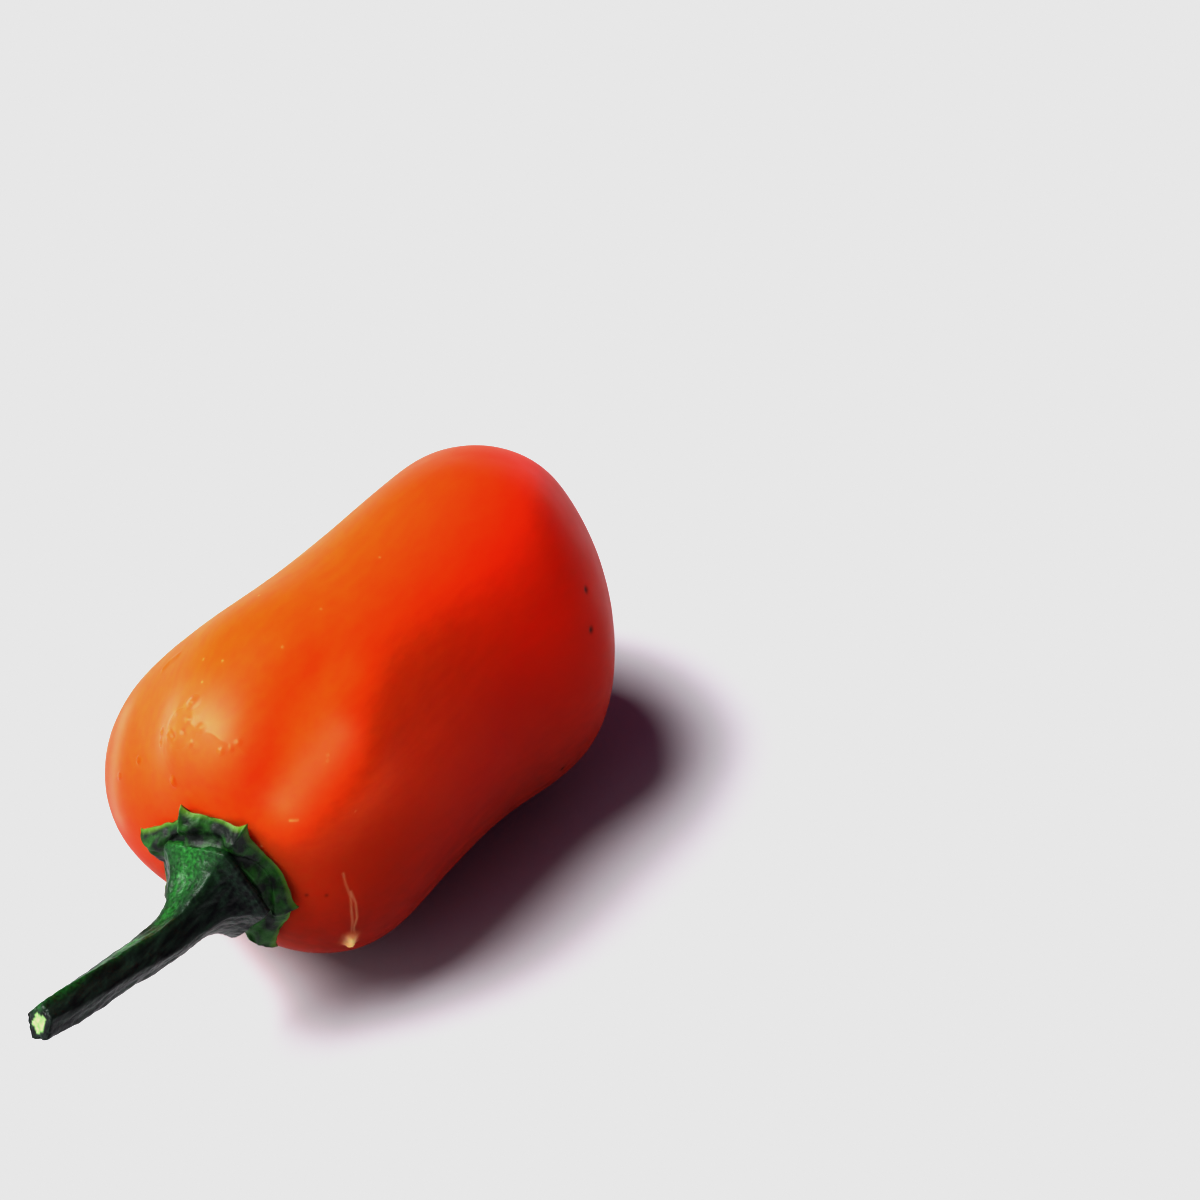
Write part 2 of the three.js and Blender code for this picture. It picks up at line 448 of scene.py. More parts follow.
# %% Where the marks are, in mm
furrow = [
    (3.0, -23.4, 24.6), (3.1, -22.1, 26.9), (3.4, -20.1, 29.2), (3.7, -17.4, 31.0), (4.0, -14.0, 32.2),
]
furrow_side = [(9.2, -17.6, 25.6), (8.2, -20.2, 23.8), (6.9, -22.3, 21.8)]
shoulder = [(-4.2, -22.8, 27.2), (0.6, -23.2, 27.4)]
# along the next three paths the wax shines more, and its colour is also painted paler as a painted sheen,
# with a painted rim reflection at the left rim
rubbed_and_sheen = [(-4.6, -21.3, 29.0), (-1.8, -22.0, 28.6)]
rim_sheen_band = [(-15.0, -18.0, 21.5), (-13.9, -21.5, 19.0), (-12.5, -23.6, 15.6)]
rubbed_side_and_sheen = [(6.7, -17.5, 28.5), (5.8, -20.4, 26.7), (4.6, -22.5, 24.6)]
pinch = [(-11.9, -15.8, 26.5), (-11.3, -15.4, 27.3), (-10.5, -15.4, 28.2)]
chafed_middle = (-4.4, -22.3, 27.7)
crease = [
    (-4.7, -21.7, 28.4), (-4.1, -21.7, 28.7), (-3.0, -22.0, 28.8), (-2.2, -21.9, 29.1), (-1.5, -22.3, 28.6),
    (-0.9, -22.5, 28.3), (-0.1, -22.5, 28.1), (0.7, -22.0, 28.4), (0.8, -21.6, 28.9),
]
below_crease = np.array((-0.10, -0.65, -0.75))
scar_lines = [
    [(8.5, -20.9, 16.4), (8.7, -21.0, 15.4), (9.1, -21.0, 14.0), (9.2, -21.2, 12.4), (9.2, -21.2, 11.2),
     (9.0, -21.2, 9.8), (8.5, -21.1, 8.3)],
    [(9.1, -20.9, 14.5), (9.4, -20.8, 13.2), (9.5, -20.9, 11.5), (9.2, -21.1, 10.3), (9.1, -20.9, 8.9)],
]
hairline = [(9.5, -15.0, 24.0), (9.3, -15.8, 23.8), (9.4, -16.2, 22.9)]
scratch = [(5.0, -22.7, 23.1), (5.4, -22.3, 23.1)]
corky_nub = [(8.9, -21.2, 9.2), (8.6, -21.1, 8.3)]
blossom_scar = (-0.98, 23.7, 16.65)

# Small raised or sunken spots: place, rise and width
spots = [
    ((-4.5, -20.7, 29.7), 0.30, 0.40), ((-3.9, -21.7, 28.9), 0.18, 0.28),
    ((-6.7, -22.1, 26.6), 0.14, 0.25), ((-5.3, -22.4, 27.2), 0.15, 0.22),
    ((-4.7, -22.5, 27.4), -0.15, 0.22), ((-6.3, -22.6, 26.1), 0.12, 0.25),
    ((-3.9, -22.3, 28.1), -0.12, 0.25), ((-3.0, -22.8, 27.8), 0.14, 0.22),
    ((-2.6, -22.0, 28.9), 0.12, 0.25), ((0.1, -22.3, 28.3), 0.15, 0.22),
    ((0.5, -21.9, 28.7), 0.14, 0.22), ((-0.5, -22.6, 28.0), 0.12, 0.22),
    ((-10.2, -22.4, 22.1), 0.21, 0.25), ((-4.6, -24.3, 24.0), 0.21, 0.28),
    ((-4.5, -24.2, 24.5), 0.12, 0.20), ((-12.6, -22.5, 19.2), 0.12, 0.25),
]
marked_places = [place for place, _, _ in spots]
pale_flecks = [
    (6.5, -18.9, 27.5), (6.5, -19.1, 27.1), (-4.0, -17.6, 32.1), (-6.1, -17.4, 31.2), (-4.8, -19.3, 30.7),
    (0.2, -15.0, 33.4), (8.4, -18.8, 22.3), (9.3, -16.7, 22.4), (3.1, -24.3, 20.3), (-5.9, -9.5, 32.2),
    (0.6, -9.8, 33.7), (0.7, -1.0, 32.8),
]
faint_specks = [(6.4, -23.4, 15.0), (7.7, -22.4, 14.7)]
dark_specks = [(14.9, 10.4, 21.5), (13.5, 12.0, 24.4), (14.6, 5.5, 8.3)]

# %% Scatter flecks over the rest of the skin, the same way each time
random.seed(11)
skin_points = points_of(pod_mesh)
across, lengthwise, up = skin_points.T
far_side = np.flatnonzero((across < -8) | (up < 9) | (lengthwise > 21)).tolist()
for marks, count in ((pale_flecks, 18), (dark_specks, 4)):
    for index in random.sample(far_side, count):
        marks.append(tuple(skin_points[index].tolist()))
print(len(spots), "spots,", len(pale_flecks), "pale flecks,", len(dark_specks), "dark specks")

# %% Make the faces near the marks finer
chafed_reach, mark_reach = 3.2, 0.9
marked_places += pale_flecks + dark_specks + faint_specks + [blossom_scar]
paths = scar_lines + [hairline, scratch, crease, corky_nub, pinch] + [[place] for place in marked_places]
near_mark = distance_to_path(skin_points, [chafed_middle]) < chafed_reach
for path in paths:
    near_mark |= distance_to_path(skin_points, path) < mark_reach
refine(pod_mesh, near_mark, cuts=2)
print("pod refined to", len(pod_mesh.vertices), "points")

# %% Shape the shoulder and the uneven skin
settle = -0.12  # keeps the fine skin inside the coarser solid's box
# height of the waves, and how wide they are across, along and up
skin_waves = [(0.10, (9, 15, 9)), (0.03, (3, 5, 3)), (0.005, (0.8, 2.4, 0.8))]
# path, rise and width
soft_forms = [
    (furrow, -0.55, 2.1),
    (furrow_side, 1.1, 3.2),
    (shoulder, 0.95, 2.8),
    (shoulder, 0.8, 5.0),
    (pinch, 0.12, 0.3),
]

skin_points = points_of(pod_mesh)
relief = np.full(len(skin_points), settle)
for wave_height, size in skin_waves:
    relief += wave_height * grain(skin_points, size)
for path, rise, width in soft_forms:
    relief += rise * bell(distance_to_path(skin_points, path), width)
print("soft forms run from", relief.min().round(2), "to", relief.max().round(2), "mm")

# %% Chafe and crease the shoulder
chafed_width, chafed_rise, chafed_shine = 1.9, 0.07, 0.6
crease_depth, crease_fall, crease_width, crease_drift = 0.30, 0.9, 2.6, 0.35

# the chafed patch is rough and shines where it is swollen
chafed = bell(distance_to_path(skin_points, [chafed_middle]), chafed_width)
relief += chafed_rise * chafed * grain(skin_points, (0.55, 0.55, 0.55))

from_crease = distance_to_path(skin_points, crease)
crease_middle = np.mean(crease, axis=0)
below = (skin_points - crease_middle) @ below_crease + crease_drift * grain(skin_points, (1.1, 1.1, 1.1))
relief -= crease_depth * (1 - np.exp(-np.maximum(below, 0) / crease_fall)) * bell(from_crease, crease_width)

shine = chafed_shine * chafed
for place, rise, width in spots:
    from_spot = distance_to_path(skin_points, [place])
    relief += rise * bell(from_spot, width)
    shine = np.maximum(shine, bell(from_spot, 1.6 * width))
print("chafed patch has", int((chafed > 0.5).sum()), "points")


# %% Raise the scar and the flecks, and sink the specks
def marked(marks):
    """The strongest of some marks at each point. A mark has a path, a share and a width."""
    strongest = np.zeros(len(skin_points))
    for path, share, width in marks:
        strongest = np.maximum(strongest, share * bell(distance_to_path(skin_points, path), width))
    return strongest


scar_share, scar_width, scar_rise = 0.4, 0.10, 0.07
nub_width, nub_rise, nub_lumps = 0.5, 0.6, 0.3
blossom_scar_width, blossom_scar_rise = 0.6, 0.35
pale_width, pale_rise = 0.10, 0.04
dark_width, faint_width, faint_share, speck_depth = 0.28, 0.16, 0.5, 0.06

scars = marked([(line, scar_share, scar_width) for line in scar_lines])
relief += scar_rise * scars
nub = marked([(corky_nub, 1, nub_width)])
relief += (nub_rise + nub_lumps * grain(skin_points, (0.3, 0.3, 0.3))) * nub
blossom = marked([([blossom_scar], 1, blossom_scar_width)])
relief += blossom_scar_rise * blossom

pale = marked([(path, 1, pale_width) for path in [hairline, scratch] + [[place] for place in pale_flecks]])
relief += pale_rise * pale
dark = marked(
    [([place], 1, dark_width) for place in dark_specks]
    + [([place], faint_share, faint_width) for place in faint_specks]
)
relief -= speck_depth * dark
# painted sheen: this share pales the skin's colour along those paths, as a painted highlight and rim
# reflection, and it also makes the wax shine more
polish_and_sheen = marked([(rubbed_and_sheen, 0.72, 2.8), (rubbed_side_and_sheen, 0.85, 1.5), (rim_sheen_band, 0.4, 1.3)])
print("relief runs from", relief.min().round(2), "to", relief.max().round(2), "mm")

# %% Move the skin and store the marks
soft_edge = 0.25
skin_points = skin_points + relief[:, None] * normals_of(pod_mesh)

# the skin flattens where it rests, with a soft edge to the flat
height = skin_points[:, 2]
skin_points[:, 2] = (height + np.sqrt(height**2 + soft_edge**2)) / 2
set_points(pod_mesh, skin_points)
skin_marks = {
    "cork": np.maximum(scars, np.maximum(nub, blossom)),
    "pale": pale,
    "speck": dark,
    "shine": shine,
    "polish_and_sheen": polish_and_sheen,
}
for name, share in skin_marks.items():
    paint(pod_mesh, name, share)
print("skin's lowest point is at", skin_points[:, 2].min().round(3), "mm")

# %% [markdown]
# ## The skin's finish
#
# A ripe pepper's skin is a thin waxy film over wet flesh. Light goes a little
# way in and comes back redder. Plain paint would look hard and dry, so the
# shader has some scattering under the surface. The wax on this fruit is
# dull, so it gives back little of the light, except where rubbing polished
# it or it is swollen. There it shines, and its colour is painted paler as a
# painted sheen. The colour drifts between orange and orange-red. On top of
# that it is painted more orange on the lit upper left, and redder and darker
# away from the light and lower down, as painted light and shade. The film
# has a very fine lengthwise grain.

# %% The pod's material
pod_skin, pod_shader = new_material(
    "waxy_ripe_pepper_skin", IOR=1.36, Specular_Tint=linear(0xFFC4AC), Subsurface_Weight=0.7,
    Subsurface_Scale=0.008,
)
pod_shader.inputs["Subsurface Radius"].default_value = (1.0, 0.15, 0.05)
place = add_node(pod_skin, "ShaderNodeTexCoord").outputs["Object"]
across_up = add_node(pod_skin, "ShaderNodeSeparateXYZ", {0: place})
print(pod_skin.name, "lets light in, with an IOR of", round(pod_shader.inputs["IOR"].default_value, 2))

# %% Its ripening colours and painted shade
# the colour drifts at random over 12 mm. As painted shade it is also made
# redder towards the right, the blossom end and below, away from the window
# light, so it stays more orange on the lit upper left
drift = add_node(pod_skin, "ShaderNodeTexNoise", {"Vector": place, "Scale": 1 / (12 * MM), "Detail": 3})
away_from_light = add_node(pod_skin, "ShaderNodeVectorMath", {0: place, 1: (40, 26, -30)}, operation="DOT_PRODUCT")
drifted = add_node(
    pod_skin, "ShaderNodeMath", {0: drift.outputs["Fac"], 1: 0.4, 2: 0.95}, operation="MULTIPLY_ADD",
)
ripeness_and_painted_shade = add_node(
    pod_skin, "ShaderNodeMath", {0: away_from_light.outputs["Value"], 1: drifted.outputs[0]},
    operation="ADD", use_clamp=True,
)
skin_colour = blend_colour(pod_skin, ripeness_and_painted_shade.outputs[0], linear(0xEE5C16), linear(0xDC280C))

# painted shade: lower down the skin is darkened to a deeper red, fully so at
# 9 mm above the table
underside_shade = add_node(
    pod_skin, "ShaderNodeMapRange", {0: across_up.outputs["Z"], 1: 24 * MM, 2: 9 * MM, 3: 0.0, 4: 0.85},
)
skin_colour = blend_colour(pod_skin, underside_shade.outputs[0], skin_colour, linear(0x76241C))

# the fine grain is 0.8 mm apart, about twice as coarse as life so that it shows
stretched = add_node(pod_skin, "ShaderNodeMapping", {"Vector": place, "Scale": (1, 0.3, 1)})
fine = add_node(
    pod_skin, "ShaderNodeTexNoise", {"Vector": stretched.outputs[0], "Scale": 1 / (0.8 * MM), "Detail": 4},
)
mottle = add_node(pod_skin, "ShaderNodeMapRange", {0: fine.outputs["Fac"], 1: 0.35, 2: 0.7, 3: 0.0, 4: 0.22})
skin_colour = blend_colour(pod_skin, mottle.outputs[0], skin_colour, linear(0xC92F12))
print("ripening takes", len(pod_skin.node_tree.nodes), "nodes")

# %% The colours of its marks
# painted sheen: where the wax is polished the colour is paler, standing in
# for a highlight, and along the left rim for a rim reflection
polish_and_sheen_share = add_node(pod_skin, "ShaderNodeAttribute", attribute_name="polish_and_sheen").outputs["Fac"]
painted_sheen_share = add_node(pod_skin, "ShaderNodeMapRange", {0: polish_and_sheen_share, 3: 0.0, 4: 0.3})
skin_colour = blend_colour(pod_skin, painted_sheen_share.outputs[0], skin_colour, linear(0xF4A870))

cork_share = add_node(pod_skin, "ShaderNodeAttribute", attribute_name="cork").outputs["Fac"]
pale_share = add_node(pod_skin, "ShaderNodeAttribute", attribute_name="pale").outputs["Fac"]
speck_share = add_node(pod_skin, "ShaderNodeAttribute", attribute_name="speck").outputs["Fac"]
skin_colour = blend_colour(pod_skin, cork_share, skin_colour, linear(0xDFC08C))
skin_colour = blend_colour(pod_skin, pale_share, skin_colour, linear(0xF09A5A))
skin_colour = blend_colour(pod_skin, speck_share, skin_colour, linear(0x2A120C))
pod_skin.node_tree.links.new(skin_colour, pod_shader.inputs["Base Color"])
print("with the marks there are", len(pod_skin.node_tree.nodes), "nodes")

# %% Its wax
# wax is a little rougher in patches 5 mm wide, and cork is matt
patches = add_node(pod_skin, "ShaderNodeTexNoise", {"Vector": place, "Scale": 1 / (5 * MM), "Detail": 2})
wax = add_node(pod_skin, "ShaderNodeMapRange", {0: patches.outputs["Fac"], 1: 0.3, 2: 0.7, 3: 0.36, 4: 0.44})
rubbed_wax = add_node(pod_skin, "ShaderNodeMix", {0: polish_and_sheen_share, 2: wax.outputs[0], 3: 0.28})
reflecting = add_node(pod_skin, "ShaderNodeMapRange", {0: polish_and_sheen_share, 3: 0.06, 4: 0.6})
pod_skin.node_tree.links.new(reflecting.outputs[0], pod_shader.inputs["Specular IOR Level"])
shine_share = add_node(pod_skin, "ShaderNodeAttribute", attribute_name="shine").outputs["Fac"]
shiny = add_node(pod_skin, "ShaderNodeMix", {0: shine_share, 2: rubbed_wax.outputs[0], 3: 0.14})
rough = add_node(pod_skin, "ShaderNodeMix", {0: cork_share, 2: shiny.outputs[0], 3: 0.8})
pod_skin.node_tree.links.new(rough.outputs[0], pod_shader.inputs["Roughness"])
film = add_node(
    pod_skin, "ShaderNodeBump", {"Height": fine.outputs["Fac"], "Strength": 0.25, "Distance": 0.02 * MM},
)
pod_skin.node_tree.links.new(film.outputs[0], pod_shader.inputs["Normal"])

pod = finish_piece("pod_skin", pod_mesh, pod_skin, "pod")

# %% [markdown]
# ## The calyx
#
# The calyx is the green cap that held the flower. On the ripe fruit it is a
# thick little star, pressed against the pod, with a groove round the foot of
# the stalk and a rib out to each tooth. Its edge curves in between a tooth
# and the notch beside it. Seven teeth could be modelled one by one and
# joined, but they grew as one leaf. So one profile is swept round the pod's
# blunt end, and the star's edge says how far out it reaches at each angle.

# %% Measures of the calyx, in mm
calyx_x, calyx_z = -0.5, 15.7
calyx_seat = 4.6
# angle and distance from the middle, teeth and notches in turn
star_corners = [
    (-172, 6.1), (-138, 7.9), (-118, 6.1), (-99, 7.0), (-75, 5.7), (-57, 7.7), (-27, 6.4),
    (-10, 6.5), (37, 5.6), (68, 7.5), (88, 6.8), (114, 7.5), (132, 6.3), (165, 7.9),
]
# From the middle of the outer face to the middle of the inner one. "Out" is
# a share of the seat up to 1, then of the way to the star's edge at 2, and
# the second number is the height over the pod
calyx_profile = [
    (0, 1.6), (0.4, 1.6), (0.75, 1.75), (0.97, 1.82), (1.06, 1.55), (1.15, 1.28), (1.27, 1.18), (1.4, 1.3),
    (1.55, 1.38), (1.7, 1.22), (1.85, 0.98), (1.95, 0.76), (2.0, 0.55), (1.97, 0.40), (1.9, 0.30),
    (1.75, 0.1), (1.6, -0.1), (1.4, -0.25), (1.0, -0.3), (0.7, -0.3), (0.35, -0.3), (0, -0.3),
]
tip_lift, rib_rise, web_sink, thorn_length = 0.25, 0.6, 0.35, 0.45
lifted_tooth_rise, lifted_tooth_around, lifted_tooth_arc = 0.5, -138, 14


# %% Helpers for the calyx
def smooth_path(knots, count):
    """Evenly spaced points of a smooth curve through knots (a centripetal spline)."""
    knots = np.asarray(knots, float)
    ends = [2 * knots[0] - knots[1], 2 * knots[-1] - knots[-2]]
    knots = np.vstack([ends[0], knots, ends[1]])
    steps_between = 40
    share = np.linspace(0, 1, steps_between, endpoint=False)[:, None]
    pieces = []
    for a, b, c, d in zip(knots, knots[1:], knots[2:], knots[3:]):
        first, second, third = (math.sqrt(np.linalg.norm(q - p)) for p, q in ((a, b), (b, c), (c, d)))
        leave = ((b - a) / first - (c - a) / (first + second) + (c - b) / second) * second
        arrive = ((c - b) / second - (d - b) / (second + third) + (d - c) / third) * second
        pieces.append(
            b + leave * share
            + (3 * (c - b) - 2 * leave - arrive) * share**2
            + (2 * (b - c) + leave + arrive) * share**3
        )
    line = np.vstack(pieces + [knots[-2:-1]])
    lengths = np.concatenate([[0], np.cumsum(np.linalg.norm(np.diff(line, axis=0), axis=1))])
    wanted = np.linspace(0, lengths[-1], count)
    return np.stack([np.interp(wanted, lengths, line[:, k]) for k in range(line.shape[1])], axis=1)


def stalk_end_y(x, z):
    """The place along Y of the pod's blunt stalk end at x and z."""
    along = -np.ones_like(x)
    rounds = 5  # the middle line depends on the answer, so it is found step by step
    for _ in range(rounds):
        middle_x, middle_z = axis_at(along)
        around = np.degrees(np.arctan2(z - middle_z, x - middle_x))
        dome = np.minimum(np.hypot(x - middle_x, z - middle_z) / skin_radius(along, around), 1)
        along = -((1 - dome**blunt_at_stalk) ** (1 / blunt_at_stalk))
    return along * pod_length / 2


def star_edge(around):
    """How far out the star reaches, and how near a tooth's tip it is there."""
    radius, tooth = np.zeros_like(around), np.zeros_like(around)
    for (start, first), (end, second) in zip(star_corners, star_corners[1:] + star_corners[:1]):
        span = (end - start) % 360
        step = (around - start) % 360
        inside = step <= span
        share = step[inside] / span
        to_tip = 1 - share if first > second else share
        radius[inside] = min(first, second) + abs(first - second) * to_tip**2 + thorn_length * to_tip**9
        tooth[inside] = (0.5 - 0.5 * wave(180 * to_tip)) ** 1.5
    return radius, tooth


# %% Grow the calyx
per_corner, profile_points = 26, 90
outer_height, web_start = 0.9, 3
calyx_arounds = np.concatenate([
    np.linspace(start, start + (end - start) % 360, per_corner, endpoint=False)
    for (start, _), (end, _) in zip(star_corners, star_corners[1:] + star_corners[:1])
])
profile = smooth_path(calyx_profile, profile_points)
out, height = profile[:, :1], profile[:, 1:]
edge, tooth = star_edge(calyx_arounds[None, :])
past = np.clip(out - 1, 0, 1)
reach = mix(np.clip(out, 0, 1) * calyx_seat, edge, past)
x = calyx_x + reach * wave(calyx_arounds)
z = calyx_z + reach * wave(calyx_arounds - 90)
outer = np.clip(height / outer_height, 0, 1)
lift = height - outer * web_sink * (1 - tooth) * np.clip(past * web_start, 0, 1)
lift = lift + outer * rib_rise * tooth * np.sin(math.pi * past) + tip_lift * tooth * past**3
lift = lift + lifted_tooth_rise * bell(turn(calyx_arounds, lifted_tooth_around), lifted_tooth_arc) * past**2
y = stalk_end_y(x, z) - lift
calyx_mesh = skin_from_rings("calyx_star", np.stack([x, y, z], axis=-1))
print("calyx swept with", len(calyx_mesh.vertices), "points")

# %% Crumple its fleshy face
crumple_height, crumple_width, wrinkle_height, wrinkle_width = 0.18, 1.6, 0.09, 0.6
crumple_start = 4
calyx_settle = 0.08  # keeps the crumpled face inside the solid's box
calyx_points = points_of(calyx_mesh)
from_seat = calyx_points - np.array((calyx_x, 0, calyx_z))
from_middle = np.hypot(from_seat[:, 0], from_seat[:, 2])
edge_there, _ = star_edge(np.degrees(np.arctan2(from_seat[:, 2], from_seat[:, 0])))
near_edge = np.clip((from_middle - calyx_seat) / (edge_there - calyx_seat), 0, 1)
crumple = crumple_height * grain(calyx_points, (crumple_width,) * 3)
crumple += wrinkle_height * grain(calyx_points, (wrinkle_width,) * 3)
crumple *= np.clip(near_edge * crumple_start, 0, 1)
calyx_points = calyx_points + (crumple - calyx_settle)[:, None] * normals_of(calyx_mesh)
set_points(calyx_mesh, calyx_points)
paint(calyx_mesh, "rim", near_edge)
print("calyx crumpled by", crumple.min().round(2), "to", crumple.max().round(2), "mm")

# %% [markdown]
# ## The calyx's finish
#
# The calyx is leaf tissue that grew thick and leathery. To the eye it is
# dull, with dark and mid green blotches, a paler yellow-green rim, and a
# brown line where the very edge has dried. One even green would look like
# plastic, and a picture of a leaf would stretch over the ribs. Noise in the
# fruit's own space gives blotches 1.4 mm wide, and cells that are drawn
# 0.35 mm wide, several times as coarse as life, so that they show.

# %% The calyx's material
calyx_green, calyx_shader = new_material("leathery_green_calyx", IOR=1.4, Roughness=0.5)
calyx_place = add_node(calyx_green, "ShaderNodeTexCoord").outputs["Object"]
rim = add_node(calyx_green, "ShaderNodeAttribute", attribute_name="rim").outputs["Fac"]
blotches = add_node(
    calyx_green, "ShaderNodeTexNoise", {"Vector": calyx_place, "Scale": 1 / (1.4 * MM), "Detail": 5},
)
cells = add_node(
    calyx_green, "ShaderNodeTexNoise", {"Vector": calyx_place, "Scale": 1 / (0.35 * MM), "Detail": 2},
)
blotch_share = add_node(calyx_green, "ShaderNodeMapRange", {0: blotches.outputs["Fac"], 1: 0.42, 2: 0.62})
leaf_colour = blend_colour(calyx_green, blotch_share.outputs[0], linear(0x08160C), linear(0x225C1A))
edge_share = add_node(calyx_green, "ShaderNodeMapRange", {0: rim, 1: 0.86, 2: 0.99})
leaf_colour = blend_colour(calyx_green, edge_share.outputs[0], leaf_colour, linear(0x568220))
brown_share = add_node(calyx_green, "ShaderNodeMapRange", {0: rim, 1: 0.985, 2: 1.0})
leaf_colour = blend_colour(calyx_green, brown_share.outputs[0], leaf_colour, linear(0x6A4A18))
calyx_green.node_tree.links.new(leaf_colour, calyx_shader.inputs["Base Color"])
skin_bump = add_node(
    calyx_green, "ShaderNodeBump", {"Height": cells.outputs["Fac"], "Strength": 0.8, "Distance": 0.08 * MM},
)
calyx_green.node_tree.links.new(skin_bump.outputs[0], calyx_shader.inputs["Normal"])

calyx = finish_piece("calyx_star", calyx_mesh, calyx_green, "calyx")

# %% [markdown]
# ## The stalk
#
# The stalk flares like a trumpet where it joins the calyx and then runs
# thin, ridged and slightly bent to the end where it was cut. Rings are set
# along a smooth line, closer together in the flare, and each ring's outline
# has five ridges that turn a little on the way. A plain tube along a curve
# would be quicker, but it couldn't flare or carry ridges that turn.

# %% Measures of the stalk, in mm
stalk_base_y = -27.05
stalk_knots = [
    (calyx_x, stalk_base_y, calyx_z),
    (-0.25, -33, 16), (-1, -38, 16.9), (-1.6, -42.5, 17.8), (-2.15, -47.1, 19),
]
base_radius, neck_radius, end_radius, flare_length = 4.6, 1.45, 1.2, 2.1
ridges, ridge_share, ridge_around, twist_per_mm = 5, 0.19, 70, 2
cut_slope, cut_around, cut_reach = 0.3, 120, 3
foot_depth = 0.5  # how far the foot goes into the calyx


# %% Draw the stalk's line
def stalk_radius(distance, share, around):
    """From the middle line of the stalk to its skin, at a distance from its foot."""
    stem = mix(neck_radius, end_radius, share**2)
    flare = (base_radius - neck_radius) * np.exp(-distance / flare_length)
    ridge = 1 - np.abs(np.sin(np.radians(ridges * around / 2)))
    return (stem + flare) * (1 + ridge_share * (ridge - 1 / ridges))


line_points = 400
line = smooth_path(stalk_knots, line_points)
line_shares = np.linspace(0, 1, line_points)
steps = np.linalg.norm(np.diff(line, axis=0), axis=1)
stalk_length = steps.sum()
tangents = np.gradient(line, axis=0)
tangents /= np.linalg.norm(tangents, axis=1)[:, None]
print("stalk is", stalk_length.round(1), "mm long")

# %% Set the rings along the line
length_rows, stalk_columns = 150, 160
shares = np.linspace(1, 0, length_rows) ** 1.5
cut_insides = np.array([0, 0.2, 0.4, 0.6, 0.75, 0.84, 0.9, 0.94])
row_shares = np.concatenate([np.ones(len(cut_insides)), shares, [0, 0, 0]])
row_insides = np.concatenate([cut_insides, np.ones(length_rows), [1, 0.5, 0]])
stalk_arounds = np.linspace(-180, 180, stalk_columns, endpoint=False)
rings = []
for row, (share, inside) in enumerate(zip(row_shares, row_insides)):
    distance = share * stalk_length
    centre = np.array([np.interp(share, line_shares, line[:, k]) for k in range(3)])
    tangent = np.array([np.interp(share, line_shares, tangents[:, k]) for k in range(3)])
    square = bell(distance, flare_length)
    tangent = mix(tangent, np.array((0, -1, 0)), square)
    tangent /= np.linalg.norm(tangent)
    side = np.cross((0, 0, 1), tangent)
    side /= np.linalg.norm(side)
    up = np.cross(tangent, side)
    angle = stalk_arounds + ridge_around + twist_per_mm * distance
    radius = stalk_radius(distance, share, stalk_arounds) * inside
    slope = cut_slope * bell(stalk_length - distance, cut_reach)
    slant = slope * radius * wave(angle - cut_around)
    if row >= len(cut_insides) + length_rows:
        centre = centre + np.array((0, foot_depth, 0))
    rings.append(
        centre + np.outer(radius * wave(angle), side)
        + np.outer(radius * wave(angle - 90), up) - np.outer(slant, tangent)
    )
stalk_mesh = skin_from_rings("stalk_stem", np.array(rings))
print("stalk drawn with", len(stalk_mesh.vertices), "points")

# %% [markdown]
# ## The cut end and the bark
#
# The stalk was cut roughly, so its end isn't a clean disc: pale wet pith
# shows inside a dark rim of skin that is notched and has a small sliver. The
# bark is uneven lengthwise. The face of the foot and a strip along the shaft
# that turn towards the light are painted a brighter green, as painted light.
# It could be sculpted, but noise that is stretched along the stalk gives the
# same fibres each time, and each point's distance from the end is enough to
# tell pith from skin.

# %% Tear the end and roughen the bark
pith_reach, pith_ragged, pith_edge = 0.80, 0.30, 0.08
end_reach, notch_start, notch_depth = 2.2, 0.06, 0.5
sliver_rise, sliver_at, sliver_arc = 0.22, 168, 16
pith_lumps, pith_share, rim_share, rim_width = 0.05, 0.9, 0.97, 0.07
sliver_share, sliver_width = 0.98, 0.06
# height of the waves, and how wide they are across, along and up
bark_fibres = (0.06, (0.5, 3.0, 0.5))
bark_pimples = (0.05, (0.5, 0.5, 0.5))
bark_swells = (0.12, (1.6, 2.4, 1.6))
bark_rise, knot_rise, knot_from_end, knot_width = 0.06, 0.1, 4.5, 2.5

stalk_points = points_of(stalk_mesh)
stalk_normals = normals_of(stalk_mesh)
cut_points = 1 + (len(cut_insides) - 1) * stalk_columns
inside = np.concatenate([[0], np.repeat(row_insides[1:-1], stalk_columns), [1]])
inside[cut_points:] = 1
torn = grain(stalk_points, (0.5, 0.5, 0.5))
from_end = np.linalg.norm(stalk_points - line[-1], axis=1)
on_cut = np.clip((pith_reach + pith_ragged * torn - from_end) / pith_edge, 0, 1) * (inside < rim_share)

# the rim of skin is notched, and a sliver of it stands out at one side
outward = -tangents[-1]
at_end = bell(from_end, end_reach)
notches = (-notch_start - notch_depth * np.clip(torn, 0, 1)) * bell(inside - rim_share, rim_width) * at_end
about_end = np.degrees(np.arctan2(stalk_points[:, 2] - line[-1][2], stalk_points[:, 0] - line[-1][0]))
sliver = sliver_rise * bell(turn(about_end, sliver_at), sliver_arc)
sliver = sliver * bell(inside - sliver_share, sliver_width) * at_end
stalk_points = stalk_points - (notches + sliver)[:, None] * outward
stalk_points += (pith_lumps * torn * (inside < pith_share))[:, None] * outward

fibre_waves, pimple_waves, swell_waves = (
    wave_height * grain(stalk_points, size)
    for wave_height, size in (bark_fibres, bark_pimples, bark_swells)
)
knot = knot_rise * bell(from_end - knot_from_end, knot_width)
bark = fibre_waves + pimple_waves
bark += swell_waves + bark_rise + knot
bark[:cut_points] = 0
stalk_points = stalk_points + bark[:, None] * stalk_normals
set_points(stalk_mesh, stalk_points)
paint(stalk_mesh, "cut", on_cut)
print("bark runs from", bark.min().round(2), "to", bark.max().round(2), "mm")
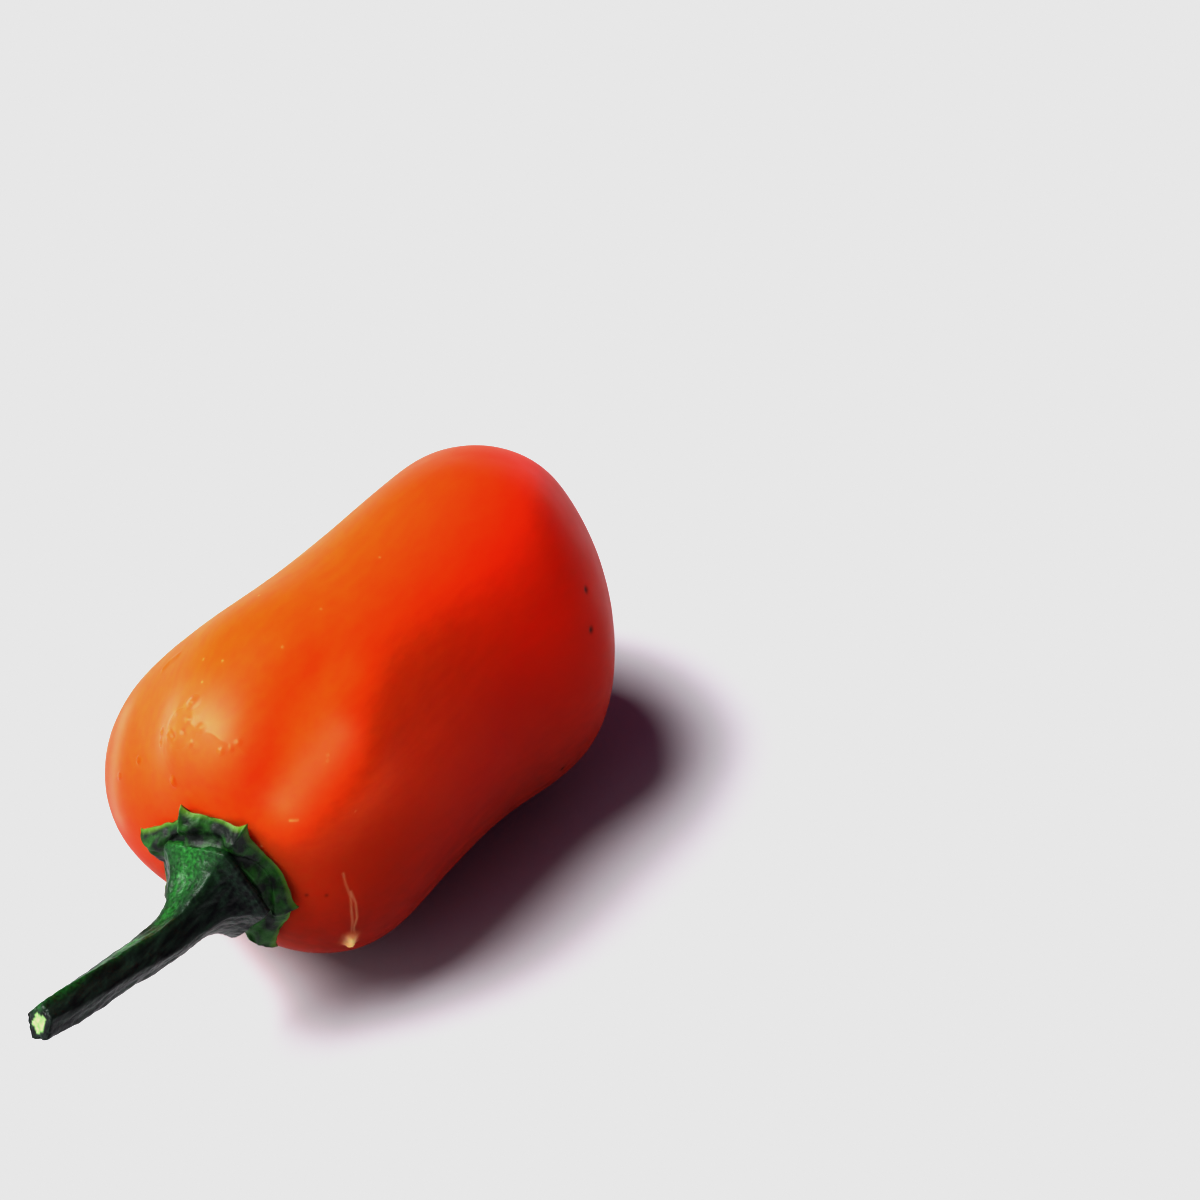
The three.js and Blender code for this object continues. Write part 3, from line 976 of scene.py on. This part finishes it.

# %% Paint the lit green of the foot and shaft
# painted light: the foot's face and a strip along the shaft that turn towards the window light are painted a
# brighter green, and the rest stays near black
lit_face_reach, lit_face_at, lit_face_arc = 9, 112, 34
lit_strip_at, lit_strip_arc, lit_strip_share = 120, 27, 0.7
from_foot = stalk_base_y - stalk_points[:, 1]
about_stalk = np.degrees(np.arctan2(stalk_points[:, 2] - calyx_z, stalk_points[:, 0] - calyx_x))
painted_lit_face = np.clip(1 - from_foot / lit_face_reach, 0, 1) * bell(turn(about_stalk, lit_face_at), lit_face_arc)
row_turns = ridge_around + twist_per_mm * row_shares[1:-1, None] * stalk_length
around_line = np.concatenate([[0], (stalk_arounds + row_turns).ravel(), [0]])
lit_strip_grain = np.clip(lit_strip_share + grain(stalk_points, (0.8, 2.5, 0.8)), 0, 1)
painted_lit_strip = bell(turn(around_line, lit_strip_at), lit_strip_arc) * lit_strip_grain
painted_light = np.maximum(painted_lit_face, painted_lit_strip)
paint(stalk_mesh, "foot", painted_light)
print("fresh green is strong at", int((painted_light > 0.5).sum()), "of the stalk's points")

# %% [markdown]
# ## The stalk's finish
#
# The stalk is young green wood under a thin smooth bark. To the eye it is
# nearly black green with finer paler fibres along it, and a little glossy.
# Its side towards the light is painted a brighter green, as painted light.
# Where it is cut, the pith is pale and wet. The bark could be wrapped with a
# picture, but then it would end at a seam, so noise is stretched along the
# stalk. Its fibres are 0.5 mm apart and its flecks 0.3 mm wide, both coarser
# than life so that they show.

# %% The stalk's material
stalk_green, stalk_shader = new_material("ridged_green_stem", IOR=1.33, Roughness=0.38)
stem_place = add_node(stalk_green, "ShaderNodeTexCoord").outputs["Object"]
stem_stretched = add_node(stalk_green, "ShaderNodeMapping", {"Vector": stem_place, "Scale": (1, 0.2, 1)})
fibres = add_node(
    stalk_green, "ShaderNodeTexNoise",
    {"Vector": stem_stretched.outputs[0], "Scale": 1 / (0.5 * MM), "Detail": 4},
)
fibre_share = add_node(stalk_green, "ShaderNodeMapRange", {0: fibres.outputs["Fac"], 1: 0.4, 2: 0.72})
# the foot attribute holds painted light and shade: the side towards the light is painted a brighter green,
# and the rest is the near black shaft colour
lit_side_share = add_node(stalk_green, "ShaderNodeAttribute", attribute_name="foot").outputs["Fac"]
shaft_colour = blend_colour(stalk_green, fibre_share.outputs[0], linear(0x070A0C), linear(0x24382C))
flecks = add_node(
    stalk_green, "ShaderNodeTexNoise", {"Vector": stem_place, "Scale": 1 / (0.3 * MM), "Detail": 3},
)
fleck_share = add_node(stalk_green, "ShaderNodeMapRange", {0: flecks.outputs["Fac"], 1: 0.3, 2: 0.75})
lit_side_green = blend_colour(stalk_green, fleck_share.outputs[0], linear(0x0F3E14), linear(0x2E8034))
stem_colour = blend_colour(stalk_green, lit_side_share, shaft_colour, lit_side_green)
cut_share = add_node(stalk_green, "ShaderNodeAttribute", attribute_name="cut").outputs["Fac"]
pith = add_node(
    stalk_green, "ShaderNodeTexNoise", {"Vector": stem_place, "Scale": 1 / (0.4 * MM), "Detail": 3},
)
pith_colour = blend_colour(stalk_green, pith.outputs["Fac"], linear(0x3E8A28), linear(0xC2E2A0))
stem_colour = blend_colour(stalk_green, cut_share, stem_colour, pith_colour)
stalk_green.node_tree.links.new(stem_colour, stalk_shader.inputs["Base Color"])
stem_bump = add_node(
    stalk_green, "ShaderNodeBump", {"Height": flecks.outputs["Fac"], "Strength": 0.8, "Distance": 0.08 * MM},
)
stalk_green.node_tree.links.new(stem_bump.outputs[0], stalk_shader.inputs["Normal"])

stalk = finish_piece("stalk_stem", stalk_mesh, stalk_green, "stalk")
